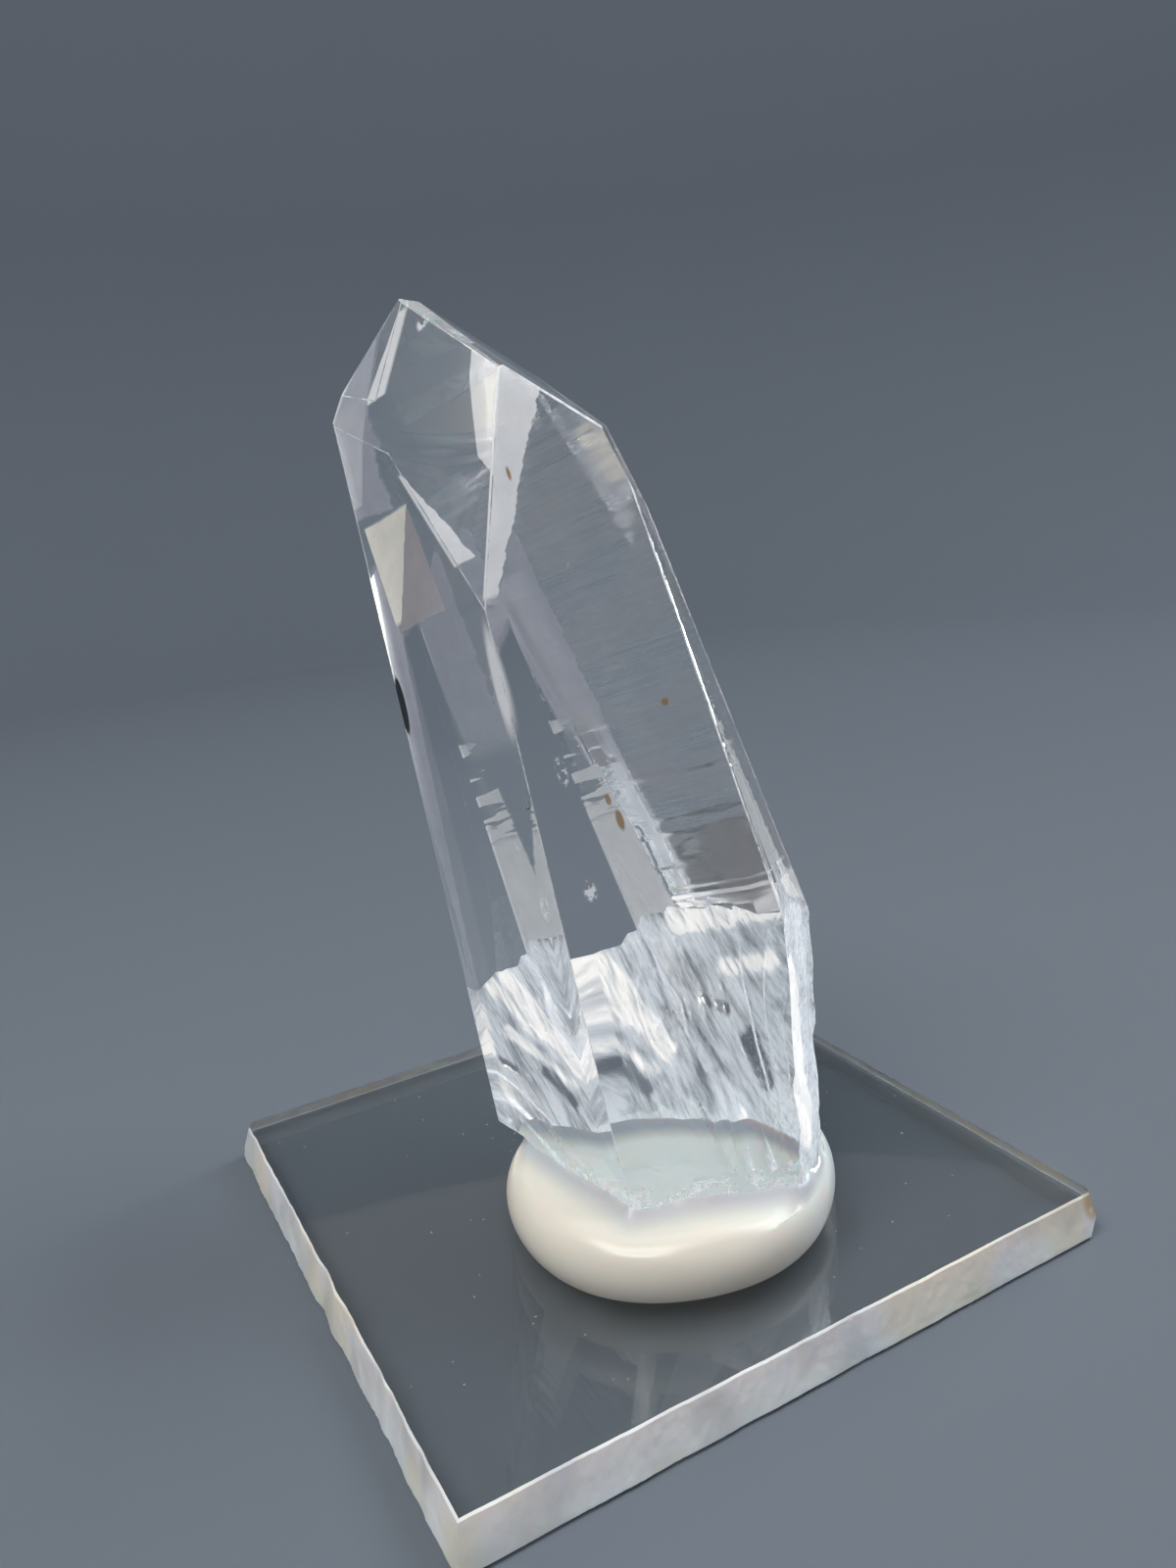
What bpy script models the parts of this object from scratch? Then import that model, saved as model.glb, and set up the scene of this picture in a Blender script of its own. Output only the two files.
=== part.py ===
"""A clear quartz point, broken at its root, set in putty on a square acrylic base.

Metres, +Z up. The origin is the middle of the base's underside, and the base's sides
run along X and Y.
"""
import math
import random

import bmesh
import bpy
from mathutils import Matrix, Vector, noise

MM = 0.001
GAP = 0.3 * MM

# Acrylic base
BASE_SIDE = 50.8 * MM
BASE_THICK = 3.2 * MM
SIDE_FLARE = 0.7 * MM
EDGE_BEVEL = 0.12 * MM
SAW_CHATTER = 0.16 * MM
POINTS_PER_SIDE = 32

# Putty pad
PUTTY_CENTRE = Vector((-0.1, -7.6, 0.0)) * MM
PUTTY_RADIUS = 12.6 * MM
PUTTY_TOP = 7.7 * MM
PUTTY_WOBBLE = 0.18 * MM
PUTTY_SEGMENTS = 72

# Crystal: where it stands and how it leans
CRYSTAL_FOOT = Vector((1.8, -4.3, 2.7)) * MM
LEAN = math.radians(16.95)
LEAN_TOWARDS = math.radians(108.8)
TURN = math.radians(142.1)
ROOT_DEPTH_Z = 5.7 * MM

# Prism faces: turn from the front face (degrees), taper (degrees), distance from the
# crystal's own axis at its foot (mm), and how deep its growth ledges are (mm)
PRISM = (
    ("front", 0, 2.8, 12.5, 0.00),
    ("right", 60, 2.6, 17.4, 0.05),
    ("back right", 120, 7.2, 13.15, 0.10),
    ("back", 180, 1.5, 12.8, 0.00),
    ("back left", 240, 2.8, 11.3, 0.08),
    ("left", 300, 5.2, 10.2, 0.00),
)

# Termination faces: turn (degrees), angle between normal and axis (degrees), distance (mm)
TIPS = (
    ("right pyramid", 59.4, 51.8, 46.1),
    ("front pyramid", 0, 51.8, 45.9),
    ("kite face", -39, 74.2, 20.85),
    ("left pyramid", -49.6, 68.6, 27.0),
    ("left shoulder", -54.1, 76.5, 18.7),
    ("right shoulder", 65.4, 80.5, 23.05),
    ("back pyramid", 180, 51.8, 43.7),
    ("back left pyramid", -129.3, 27.6, 62.5),
    ("back facet", 136.7, 66.2, 27.8),
    ("back edge facet", 135, 85.2, 13.17),
)

# Breaks at the root: turn, angle between normal and axis, distance (mm), roughness (mm),
# direction of the splinter ridges in the break (degrees), number that varies the pattern
BREAKS = (
    ("back break", 172, 133.3, -2.6, 1.30, 62, 3.0),
    ("right back break", 126, 112.5, 2.9, 1.00, 78, 11.0),
    ("right break", 56, 100.1, 13.5, 0.80, 84, 23.0),
    ("left break", -85, 133.4, 2.75, 0.60, 70, 37.0),
)
BREAK_SIZE = 42 * MM
BREAK_CELLS = 46
BREAK_MIDDLE = Vector((0.0, 0.0, 10.0)) * MM
BREAK_BACKING = 26 * MM
RIDGE_PITCH = 2.6 * MM
CHIP_PITCH = 5.0 * MM

LEDGE_FIRST = 14 * MM
LEDGE_LAST = 60 * MM
LEDGE_PITCH = 1.3 * MM
LEDGE_RISE = 0.16 * MM
BLOCK_BOTTOM = -6 * MM
BLOCK_TOP = 76 * MM


def clear_scene():
    for old in list(bpy.data.objects):
        bpy.data.objects.remove(old, do_unlink=True)


def finish_material(name, colour, roughness, transmission, ior):
    material = bpy.data.materials.new(name)
    material.use_nodes = True
    shader = material.node_tree.nodes["Principled BSDF"]
    shader.inputs["Base Color"].default_value = (*colour, 1.0)
    shader.inputs["Roughness"].default_value = roughness
    shader.inputs["Metallic"].default_value = 0.0
    shader.inputs["Transmission Weight"].default_value = transmission
    shader.inputs["IOR"].default_value = ior
    material.diffuse_color = (*colour, 1.0)
    return material


def add_object(name, mesh_builder, material=None):
    mesh = bpy.data.meshes.new(name)
    mesh_builder.to_mesh(mesh)
    mesh_builder.free()
    thing = bpy.data.objects.new(name, mesh)
    bpy.context.scene.collection.objects.link(thing)
    if material:
        mesh.materials.append(material)
    return thing


def make_guide(thing):
    """A cutter: drawn as wires and left out of the model."""
    thing.hide_render = True
    thing.display_type = "WIRE"
    return thing


def cut_with(target, cutter):
    cut = target.modifiers.new("cut " + cutter.name, "BOOLEAN")
    cut.operation = "DIFFERENCE"
    cut.solver = "EXACT"
    cut.object = cutter


def direction(turn, from_axis):
    """Unit normal from its turn about the axis and its angle to the axis, in degrees."""
    around, down = math.radians(turn), math.radians(from_axis)
    return Vector((math.sin(down) * math.cos(around), math.sin(down) * math.sin(around),
                   math.cos(down)))


def crystal_matrix():
    lean = Matrix.Rotation(LEAN_TOWARDS, 4, "Z") @ Matrix.Rotation(LEAN, 4, "Y")
    return Matrix.Translation(CRYSTAL_FOOT) @ lean @ Matrix.Rotation(TURN, 4, "Z")


def close_holes(shape):
    bmesh.ops.holes_fill(shape, edges=[edge for edge in shape.edges if edge.is_boundary])


def slice_off(shape, point, normal):
    """Cut away what lies beyond a plane and close the cut with a flat face."""
    everything = shape.verts[:] + shape.edges[:] + shape.faces[:]
    bmesh.ops.bisect_plane(shape, geom=everything, plane_co=point, plane_no=normal,
                           clear_outer=True)
    close_holes(shape)


def face_distance(face, height, ledges):
    """How far a prism face stands from the axis at a height, ledges and taper included."""
    _, _, taper, distance, depth = face
    out = distance * MM - math.tan(math.radians(taper)) * height
    return out + depth * MM * ledges


def section(height, ledge_of):
    """The six corners of the prism at one height."""
    corners = []
    for index, face in enumerate(PRISM):
        after = PRISM[(index + 1) % 6]
        a, b = math.radians(face[1]), math.radians(after[1])
        p = face_distance(face, height, ledge_of(index, height))
        q = face_distance(after, height, ledge_of((index + 1) % 6, height))
        across = math.sin(b - a)
        x = (p * math.sin(b) - q * math.sin(a)) / across
        y = (q * math.cos(a) - p * math.cos(b)) / across
        corners.append(Vector((x, y, height)))
    return corners


def ledge_heights():
    """Uneven heights of the growth ledges, the same on every run."""
    rule = random.Random(7)
    heights, height = [], LEDGE_FIRST
    while height < LEDGE_LAST:
        heights.append(height)
        height += LEDGE_PITCH * rule.uniform(0.45, 1.6)
    return heights


def crystal_block(grow=0.0, ledges=True):
    """The unbroken prism with its termination, in the crystal's own frame."""
    steps = ledge_heights() if ledges else []
    rule = random.Random(19)
    carried = {level: [rule.random() < 0.6 for _ in PRISM] for level in range(len(steps))}

    def ledge_of(index, height):
        """0 to 1: a face stands proud below a ledge and runs back above it."""
        below = [n for n, step in enumerate(steps) if step <= height and carried[n][index]]
        above = [n for n, step in enumerate(steps) if step > height and carried[n][index]]
        if not below or not above:
            return 0.0
        start, end = steps[below[-1]], steps[above[0]]
        return (height - start) / (end - start)

    levels = [BLOCK_BOTTOM]
    for step in steps:
        levels += [step - LEDGE_RISE, step]
    levels += [LEDGE_LAST + LEDGE_PITCH, BLOCK_TOP]

    shape = bmesh.new()
    rings = []
    for level in levels:
        corners = section(level, ledge_of)
        rings.append([shape.verts.new(corner) for corner in corners])
    for low, high in zip(rings, rings[1:]):
        for side in range(6):
            after = (side + 1) % 6
            shape.faces.new((low[side], low[after], high[after], high[side]))
    shape.faces.new(list(reversed(rings[0])))
    shape.faces.new(rings[-1])
    for _, turn, from_axis, distance in TIPS:
        normal = direction(turn, from_axis)
        slice_off(shape, normal * (distance * MM + grow), normal)
    if grow:
        push_out_prism(shape, grow)
    bmesh.ops.recalc_face_normals(shape, faces=shape.faces[:])
    return shape


def push_out_prism(shape, grow):
    """Scale the prism's cross-section so each face stands out by the given amount."""
    widest = 1.0 + grow / (PRISM[5][3] * MM)
    bmesh.ops.scale(shape, vec=(widest, widest, 1.0), verts=shape.verts[:])


def root_plane():
    """The flat underside of the root, as a point and normal in the crystal's frame."""
    back = crystal_matrix().inverted()
    point = back @ Vector((CRYSTAL_FOOT.x, CRYSTAL_FOOT.y, ROOT_DEPTH_Z))
    return point, back.to_3x3() @ Vector((0, 0, -1))


def break_depth(u, v, rough, slant, variety):
    """How far a break dips into the crystal: curved splinter ridges and shell-like chips."""
    spot = Vector((u / CHIP_PITCH, v / CHIP_PITCH, variety))
    chips = 0.5 + 0.5 * noise.noise(spot)
    angle = math.radians(slant)
    bowed = u * math.sin(angle) - v * math.cos(angle) + 18.0 * u * u + 9.0 * v * v
    phase = bowed / RIDGE_PITCH + 0.9 * noise.noise(spot * 0.6)
    blade = 1.0 - abs(2.0 * (phase - math.floor(phase)) - 1.0)
    fine = 0.5 + 0.5 * noise.noise(spot * 4.3)
    return rough * MM * (0.08 + 0.62 * chips + 0.45 * blade * blade + 0.25 * fine)


def break_cutter(name, turn, from_axis, distance, rough, slant, variety):
    """A slab whose inner side is the rough surface of one break."""
    shape = bmesh.new()
    count = BREAK_CELLS + 1
    step = BREAK_SIZE / BREAK_CELLS
    grid = []
    for row in range(count):
        for column in range(count):
            u = column * step - BREAK_SIZE / 2
            v = row * step - BREAK_SIZE / 2
            depth = break_depth(u, v, rough, slant, variety)
            grid.append(shape.verts.new((u, v, -depth)))
    inner = []
    for row in range(BREAK_CELLS):
        for column in range(BREAK_CELLS):
            low = row * count + column
            inner.append(shape.faces.new((grid[low], grid[low + 1], grid[low + count + 1],
                                          grid[low + count])))
    made = bmesh.ops.extrude_face_region(shape, geom=inner)
    backing = [item for item in made["geom"] if isinstance(item, bmesh.types.BMVert)]
    for corner in backing:
        corner.co.z = BREAK_BACKING
    bmesh.ops.recalc_face_normals(shape, faces=shape.faces[:])
    normal = direction(turn, from_axis)
    outward = normal.to_track_quat("Z", "Y").to_matrix().to_4x4()
    middle = BREAK_MIDDLE + normal * (distance * MM - normal.dot(BREAK_MIDDLE))
    place = Matrix.Translation(middle) @ outward
    cutter = make_guide(add_object(name, shape))
    cutter.matrix_world = crystal_matrix() @ place
    return cutter


def make_crystal():
    quartz = finish_material("quartz", (0.96, 0.98, 0.98), 0.02, 1.0, 1.544)
    shape = crystal_block()
    slice_off(shape, *root_plane())
    crystal = add_object("crystal", shape, quartz)
    crystal.matrix_world = crystal_matrix()
    for spec in BREAKS:
        cut_with(crystal, break_cutter(*spec))
    return crystal


def make_root_pocket():
    """The putty's pocket: the root's own flat-sided form, grown by the gap."""
    shape = crystal_block(grow=GAP, ledges=False)
    for _, turn, from_axis, distance, *_ in BREAKS:
        normal = direction(turn, from_axis)
        slice_off(shape, normal * (distance * MM + GAP), normal)
    point, normal = root_plane()
    slice_off(shape, point + normal * GAP, normal)
    pocket = make_guide(add_object("root pocket", shape))
    pocket.matrix_world = crystal_matrix()
    return pocket


def putty_profile():
    """Radius and height up the outside of the pad, from its foot to its flat top."""
    foot = BASE_THICK + GAP
    rise = PUTTY_TOP - foot
    points = []
    for step in range(11):
        angle = math.radians(-52 + step * 14.2)
        radius = PUTTY_RADIUS - rise * 0.46 * (1 - math.cos(angle))
        height = foot + rise * (0.44 + 0.56 * math.sin(angle))
        points.append((radius, max(foot, height)))
    return points


def make_putty(pocket):
    milky = finish_material("milky putty", (0.86, 0.89, 0.86), 0.35, 0.5, 1.45)
    shape = bmesh.new()
    rings = []
    for radius, height in putty_profile():
        ring = []
        for step in range(PUTTY_SEGMENTS):
            angle = math.tau * step / PUTTY_SEGMENTS
            wobble = math.sin(2 * angle + 0.6) + 0.5 * math.sin(5 * angle + 2.0)
            out = radius + PUTTY_WOBBLE * wobble
            spot = (PUTTY_CENTRE.x + out * math.cos(angle), PUTTY_CENTRE.y + out * math.sin(angle))
            ring.append(shape.verts.new((*spot, height)))
        rings.append(ring)
    for low, high in zip(rings, rings[1:]):
        for step in range(PUTTY_SEGMENTS):
            after = (step + 1) % PUTTY_SEGMENTS
            shape.faces.new((low[step], low[after], high[after], high[step]))
    shape.faces.new(list(reversed(rings[0])))
    shape.faces.new(rings[-1])
    putty = add_object("putty", shape, milky)
    cut_with(putty, pocket)
    putty.data.shade_smooth()
    putty.data.set_sharp_from_angle(angle=math.radians(40))
    return putty


def base_outline(flare, chatter):
    """One turn round the base, side by side, with the saw's marks on each side."""
    half = BASE_SIDE / 2 + flare
    corners = [(-half, -half), (half, -half), (half, half), (-half, half)]
    marks = (0.45, 0.3, 0.3, 1.0)
    points = []
    for side, (x0, y0) in enumerate(corners):
        x1, y1 = corners[(side + 1) % 4]
        out = Vector((y1 - y0, x0 - x1)).normalized()
        for step in range(POINTS_PER_SIDE):
            part = step / POINTS_PER_SIDE
            wave = noise.noise(Vector((part * 17.0, side * 5.0, 1.5)))
            wave += 0.5 * noise.noise(Vector((part * 41.0, side * 5.0, 8.5)))
            push = chatter * marks[side] * wave * math.sin(math.pi * part) ** 0.25
            points.append((x0 + (x1 - x0) * part + out.x * push,
                           y0 + (y1 - y0) * part + out.y * push))
    return points


def make_base():
    acrylic = finish_material("clear acrylic", (0.94, 0.96, 0.95), 0.06, 1.0, 1.49)
    slope = SIDE_FLARE / BASE_THICK
    rings = (
        (0.0, SIDE_FLARE - EDGE_BEVEL, 0.6),
        (EDGE_BEVEL, SIDE_FLARE - slope * EDGE_BEVEL, 1.0),
        (BASE_THICK * 0.5, SIDE_FLARE * 0.5, 1.0),
        (BASE_THICK - EDGE_BEVEL, slope * EDGE_BEVEL, 1.0),
        (BASE_THICK, -EDGE_BEVEL, 0.6),
    )
    shape = bmesh.new()
    loops = []
    for height, flare, share in rings:
        outline = base_outline(flare, SAW_CHATTER * share)
        loops.append([shape.verts.new((x, y, height)) for x, y in outline])
    for low, high in zip(loops, loops[1:]):
        for step in range(len(low)):
            after = (step + 1) % len(low)
            shape.faces.new((low[step], low[after], high[after], high[step]))
    shape.faces.new(list(reversed(loops[0])))
    shape.faces.new(loops[-1])
    chip_corners(shape)
    bmesh.ops.recalc_face_normals(shape, faces=shape.faces[:])
    return add_object("base", shape, acrylic)


def chip_corners(shape):
    """Small flakes broken off the right-hand and the left-hand corner."""
    half = BASE_SIDE / 2
    chips = (
        (Vector((half - 0.3 * MM, -half + 0.3 * MM, BASE_THICK)), Vector((1.0, -0.8, 0.35))),
        (Vector((half + 0.1 * MM, -half - 0.2 * MM, 1.4 * MM)), Vector((0.7, -1.0, -0.25))),
        (Vector((-half + 0.5 * MM, half - 0.2 * MM, BASE_THICK)), Vector((-1.0, 0.55, 0.5))),
        (Vector((-half - 0.1 * MM, half + 0.3 * MM, 1.0 * MM)), Vector((-0.5, 1.0, -0.2))),
    )
    for point, normal in chips:
        slice_off(shape, point, normal.normalized())


def main():
    clear_scene()
    make_base()
    make_crystal()
    make_putty(make_root_pocket())


main()
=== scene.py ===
"""The looks of a clear quartz point set in milky putty on a square acrylic base.

Laid out as an add-on: settings, one operator for each piece, a panel, register.
It is run as a script. Sizes are in metres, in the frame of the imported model.
"""
import math
import random

import bmesh
import bpy
from bpy.props import FloatProperty, FloatVectorProperty, IntProperty, PointerProperty
from mathutils import Matrix, Vector, noise
from mathutils.bvhtree import BVHTree


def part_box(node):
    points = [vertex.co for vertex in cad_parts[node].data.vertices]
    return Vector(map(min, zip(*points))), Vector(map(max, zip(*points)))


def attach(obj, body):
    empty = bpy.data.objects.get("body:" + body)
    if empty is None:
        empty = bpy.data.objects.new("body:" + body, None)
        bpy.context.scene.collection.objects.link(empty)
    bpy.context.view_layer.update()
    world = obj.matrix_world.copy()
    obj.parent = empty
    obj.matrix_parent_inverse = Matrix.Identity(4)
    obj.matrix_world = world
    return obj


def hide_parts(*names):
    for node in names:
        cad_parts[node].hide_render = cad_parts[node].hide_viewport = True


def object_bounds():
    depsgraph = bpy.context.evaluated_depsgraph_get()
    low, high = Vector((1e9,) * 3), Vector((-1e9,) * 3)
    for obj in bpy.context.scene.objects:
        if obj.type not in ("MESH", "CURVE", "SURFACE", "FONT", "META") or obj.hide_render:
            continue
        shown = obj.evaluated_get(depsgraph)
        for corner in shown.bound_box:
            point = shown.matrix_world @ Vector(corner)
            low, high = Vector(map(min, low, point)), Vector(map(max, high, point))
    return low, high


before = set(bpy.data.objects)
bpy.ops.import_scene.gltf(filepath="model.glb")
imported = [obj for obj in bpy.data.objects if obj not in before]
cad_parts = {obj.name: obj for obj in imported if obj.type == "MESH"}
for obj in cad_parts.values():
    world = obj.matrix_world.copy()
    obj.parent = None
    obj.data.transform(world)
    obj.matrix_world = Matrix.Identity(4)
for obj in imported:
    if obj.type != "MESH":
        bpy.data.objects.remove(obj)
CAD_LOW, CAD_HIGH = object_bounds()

bl_info = {
    "name": "Quartz Point on Acrylic Base",
    "version": (1, 0, 0),
    "blender": (4, 5, 0),
    "location": "View3D > Sidebar > Quartz",
    "description": "Builds a clear quartz point in putty on a clear base, with its stage",
    "category": "Object",
}

MM = 0.001
BASE_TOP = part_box("base")[1][2]

# Crystal: where it stands and how it leans
CRYSTAL_FOOT = Vector((1.8, -4.3, 2.7)) * MM
LEAN = math.radians(16.95)
LEAN_TOWARDS = math.radians(108.8)
TURN = math.radians(142.1)
ROOT_DEPTH_Z = 5.7 * MM

# Prism faces: turn from the front face (degrees), taper (degrees), distance from the
# axis at the foot (mm), depth of the growth ledges (mm), depth of the fine ridges (mm)
PRISM = (
    ("front", 0, 2.8, 12.5, 0.00, 0.000),
    ("right", 60, 2.6, 17.4, 0.03, 0.006),
    ("back right", 120, 7.2, 13.15, 0.03, 0.011),
    ("back", 180, 1.5, 12.8, 0.00, 0.002),
    ("back left", 240, 2.8, 11.3, 0.03, 0.010),
    ("left", 300, 5.2, 10.2, 0.00, 0.000),
)

# Termination faces: turn (degrees), angle between normal and axis (degrees), distance (mm)
TIPS = (
    ("right pyramid", 59.4, 51.8, 46.1),
    ("front pyramid", 0, 51.8, 45.9),
    ("kite face", -39, 74.2, 20.85),
    ("left pyramid", -49.6, 68.6, 27.0),
    ("left shoulder", -54.1, 76.5, 18.7),
    ("right shoulder", 65.4, 80.5, 23.05),
    ("back pyramid", 180, 51.8, 43.7),
    ("back left pyramid", -129.3, 27.6, 62.5),
    ("back facet", 136.7, 66.2, 27.8),
    ("back edge facet", 135, 85.2, 13.17),
)

# Breaks at the root: turn, angle between normal and axis, distance (mm), roughness (mm),
# where the crack started in the break's own plane (mm), number that varies the pattern
BREAKS = (
    ("back break", 172, 133.3, -2.6, 1.30, (-6.0, -14.0), 3.0),
    ("right back break", 126, 112.5, 2.9, 1.00, (-9.0, -9.0), 11.0),
    ("right break", 56, 100.1, 13.5, 0.80, (2.0, -22.0), 23.0),
    ("left break", -85, 133.4, 2.75, 0.60, (-4.0, -24.0), 37.0),
)
# Worn edges, white with a painted highlight: the two faces that meet there, and the width of the
# worn strip (mm)
WORN_EDGES = (("front", "left", 0.09), ("front", "right", 0.15), ("kite face", "front", 0.10),
              ("kite face", "left pyramid", 0.12), ("kite face", "left", 0.10),
              ("kite face", "right pyramid", 0.22), ("front", "front pyramid", 0.15),
              ("left", "left shoulder", 0.10), ("front", "right pyramid", 0.30),
              ("left pyramid", "left shoulder", 0.12), ("back", "back left", 0.12),
              ("left", "back left", 0.20))

# Marks in the crystal's own frame (mm): middle and half sizes
RUST_SPOTS = (
    ((11.1, 3.45, 29.4), (0.5, 0.25, 0.75)),
    ((11.0, 3.1, 31.0), (0.4, 0.18, 0.4)),
    ((9.8, 3.55, 54.9), (0.5, 0.13, 0.5)),
    ((10.7, 9.1, 36.3), (0.3, 0.26, 0.26)),
)
BLACK_SLIVERS = (((-2.4, -8.83, 42.6), (0.6, 0.6, 2.6)),)
CHIPPED_SPOTS = (
    ((11.3, -0.1, 25.3), (0.5, 0.42, 0.7)),
    ((9.9, -3.4, 24.9), (0.6, 0.45, 0.9)),
    ((4.2, 1.5, 68.5), (0.5, 0.6, 0.5)),
    ((10.9, 0.6, 33.9), (0.4, 0.35, 1.0)),
)
# Painted highlight: a bright flare along the edge between the front face and the left face
FLARES = (((10.15, -1.7, 41.6), (0.75, 0.65, 4.4)),)
SLIVER_EDGE = 0.12
# The crushed band at the root: it fades between these heights, and starts at its left end
CRUSHED_TOP = (8.6 * MM, 9.6 * MM)
CRUSHED_LEFT = (-8.5 * MM, -6.5 * MM)

# Milky strips beside an edge, partly etched and partly painted highlight: face, neighbour, height
# where the width is counted from (mm), how fast it grows with height, extra width (mm), raggedness
# of side and foot, height of the foot (mm, from clear to milky), and whiteness
STRIPS = (
    ("front", "kite face", 47.4, 0.155, 0.9, 0.9, 0.0, (46.6, 47.2), 0.88),
    ("kite face", "left", 58.4, -0.19, 0.0, 0.6, 3.0, (50.0, 50.4), 0.90),
    ("left pyramid", "kite face", 70.5, -0.24, 0.0, 0.2, 0.0, (64.8, 65.1), 0.90),
)
# Width of the painted highlight along the left outline (mm)
OUTLINE_STRIP = 0.34
QUARTZ_IOR = 1.544
QUARTZ_SHARP = math.radians(38)

# Veils of crushed quartz on the breaks, partly painted highlights, in the crystal's frame (mm):
# from, to, half widths at both ends, and how white (below zero for a clear window)
VEILS = (
    ((-12.3, 0.0, 16.8), (-4.9, 2.8, 9.4), 1.35, 1.2, 1.0),
    ((-4.9, 2.8, 9.4), (-0.8, 3.1, 5.1), 1.0, 0.3, 1.0),
    ((-10.0, 4.6, 14.8), (-1.7, 5.0, 6.3), 0.7, 0.3, 0.9),
    ((-6.1, 5.7, 12.2), (-2.7, 7.2, 10.4), 0.45, 0.45, 1.0),
    ((-2.7, 7.2, 10.4), (0.6, 7.5, 6.1), 0.45, 0.4, 1.0),
    ((0.8, 6.6, 4.4), (2.3, 4.6, 2.0), 0.45, 0.3, 1.0),
    ((-9.3, -3.0, 13.1), (-4.2, 1.2, 8.3), 0.9, 1.0, 1.0),
    ((-11.5, -5.4, 15.1), (-8.7, -6.6, 11.9), 1.1, 0.9, 1.0),
    ((-12.0, -2.2, 16.6), (-7.6, 0.2, 12.0), 1.2, 0.9, 0.6),
    ((-6.8, -7.2, 9.8), (-1.4, -5.8, 4.6), 1.1, 0.6, 0.7),
    ((-9.0, 7.2, 19.0), (1.7, 13.3, 19.6), 1.7, 2.0, 0.8),
    ((-3.4, 9.0, 14.8), (1.5, 12.0, 14.8), 0.9, 1.3, 0.5),
    ((11.9, 11.8, 15.0), (11.4, 9.8, 4.5), 2.0, 2.0, 0.8),
    ((3.1, 6.3, 1.4), (1.8, 6.2, 2.8), 0.6, 0.5, 1.0),
    ((-5.6, -1.2, 9.6), (-3.4, 0.2, 7.3), 1.0, 0.9, -1.0),
    ((-8.0, -6.1, 11.3), (-7.0, -4.8, 10.4), 0.8, 0.8, -0.9),
    ((-8.6, 1.9, 12.9), (-7.5, 3.6, 12.2), 0.6, 0.5, -0.5),
    ((-4.9, 6.8, 12.6), (-2.2, 8.3, 11.6), 0.7, 0.8, -1.0),
    ((0.6, 9.2, 9.0), (2.4, 9.0, 6.4), 1.5, 1.2, -1.0),
)
VEIL = "veil"

# Direction in which the splinters of the break run, in the crystal's frame
SPLINTER_ALONG = (0.69, 0.07, -0.72)

# Shares of a break's roughness: level, wide shells, blades, hackle and fine ripples
BREAK_SHARES = (0.05, 0.75, 0.45, 0.11, 0.008)
BLADE_RISE, BLADE_FALL = 0.8, 0.2
BREAK_SIZE = 34 * MM
BREAK_MIDDLE = Vector((0.0, 0.0, 10.0)) * MM
BREAK_BACKING = 26 * MM
BLADES_PER_TURN = 40
SHELL_PITCH = 7.0 * MM
RIPPLE_PITCH = 1.1 * MM

BASE_SIDE = 50.8 * MM
BASE_THICK = 3.2 * MM
SIDE_FLARE = 0.7 * MM
EDGE_BEVEL = 0.12 * MM
POINTS_PER_SIDE = 256
PLATE_LEVELS = 12
SIDE_MARKS = (0.45, 0.3, 0.3, 1.0)
FINE_MARKS = 0.25
MARKS_AT_RIMS = 0.6
ACRYLIC_IOR = 1.49
PLATE_SHARP = math.radians(30)
AMBER_PLACE = Vector((-0.2, 0.1, 2.3)) * MM
AMBER_SIZE = Vector((1.1, 0.9, 1.3)) * MM
DUST_CLEAR = 14.2 * MM
DUST_SEED = 5
DUST_MARGIN = 1.0 * MM
DUST_LIFT = 0.02 * MM

PUTTY_CENTRE = Vector((-0.1, -7.6, 0.0)) * MM
PUTTY_RADIUS = 12.6 * MM
PUTTY_TOP = 7.7 * MM
PUTTY_WOBBLE = 0.18 * MM
PUTTY_SEGMENTS = 180
PUTTY_SIDE_STEPS = 26
PUTTY_TOP_STEPS = 44
PUTTY_SEAT = 0.03 * MM
PUTTY_ROLL = 0.6 * MM
PUTTY_TURNS = (-50, 134)
PUTTY_BULGE = 0.46
PUTTY_WAIST, PUTTY_SWELL = 0.44, 0.56
PUTTY_LUMP = 0.16 * MM
LUMPS_PER_METRE = 170
PUTTY_IOR = 1.42
PUTTY_SHARP = math.radians(50)
POCKET_SCALE = 0.992
FILM_WIDTH = 0.45 * MM
FILM_FOOT = 6.9 * MM
CREASE_WIDTH = 1.1 * MM
POCKET_REACH = 0.4 * MM
FURROW = 0.28 * MM
FURROW_AWAY = 1.6 * MM
FURROW_WIDTH = 0.9 * MM
NEAR_CRYSTAL = "near_crystal"

LEDGE_FIRST = 14 * MM
LEDGE_LAST = 60 * MM
LEDGE_PITCH = 1.3 * MM
LEDGE_SPREAD = (0.45, 1.6)
LEDGE_SHARE = 0.6
LEDGE_SEEDS = (7, 19)
LEDGE_RISE = 0.16 * MM
RIDGES_END = LEDGE_LAST + 8 * MM
BLOCK_BOTTOM = -4 * MM
BLOCK_TOP = 76 * MM

# Camera, from the photo: image size, focal length in pixels, place and its own axes
IMAGE_TALL = 1600
FOCAL_PIXELS = 1200
SENSOR_MM = 36.0
CLIP_START = 4 * MM
CAMERA_PLACE = Vector((-39.43, -76.80, 57.44)) * MM
CAMERA_RIGHT = Vector((0.8737, -0.4771, -0.0947))
CAMERA_UP = Vector((0.2020, 0.1788, 0.9629))
CAMERA_BACK = Vector((-0.4425, -0.8605, 0.2526))

# Stage
FLOOR_RADIUS = 0.35
SWEEP_RADIUS = 0.18
SWEEP_STEPS = 96
CURVE_STEPS = 12
WALL_TOP = 0.34
FLOOR_DROP = 0.0002
FLOOR_REACH = 0.9
EXPOSURE = -0.45
LIGHT_BOUNCES = 15
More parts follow.
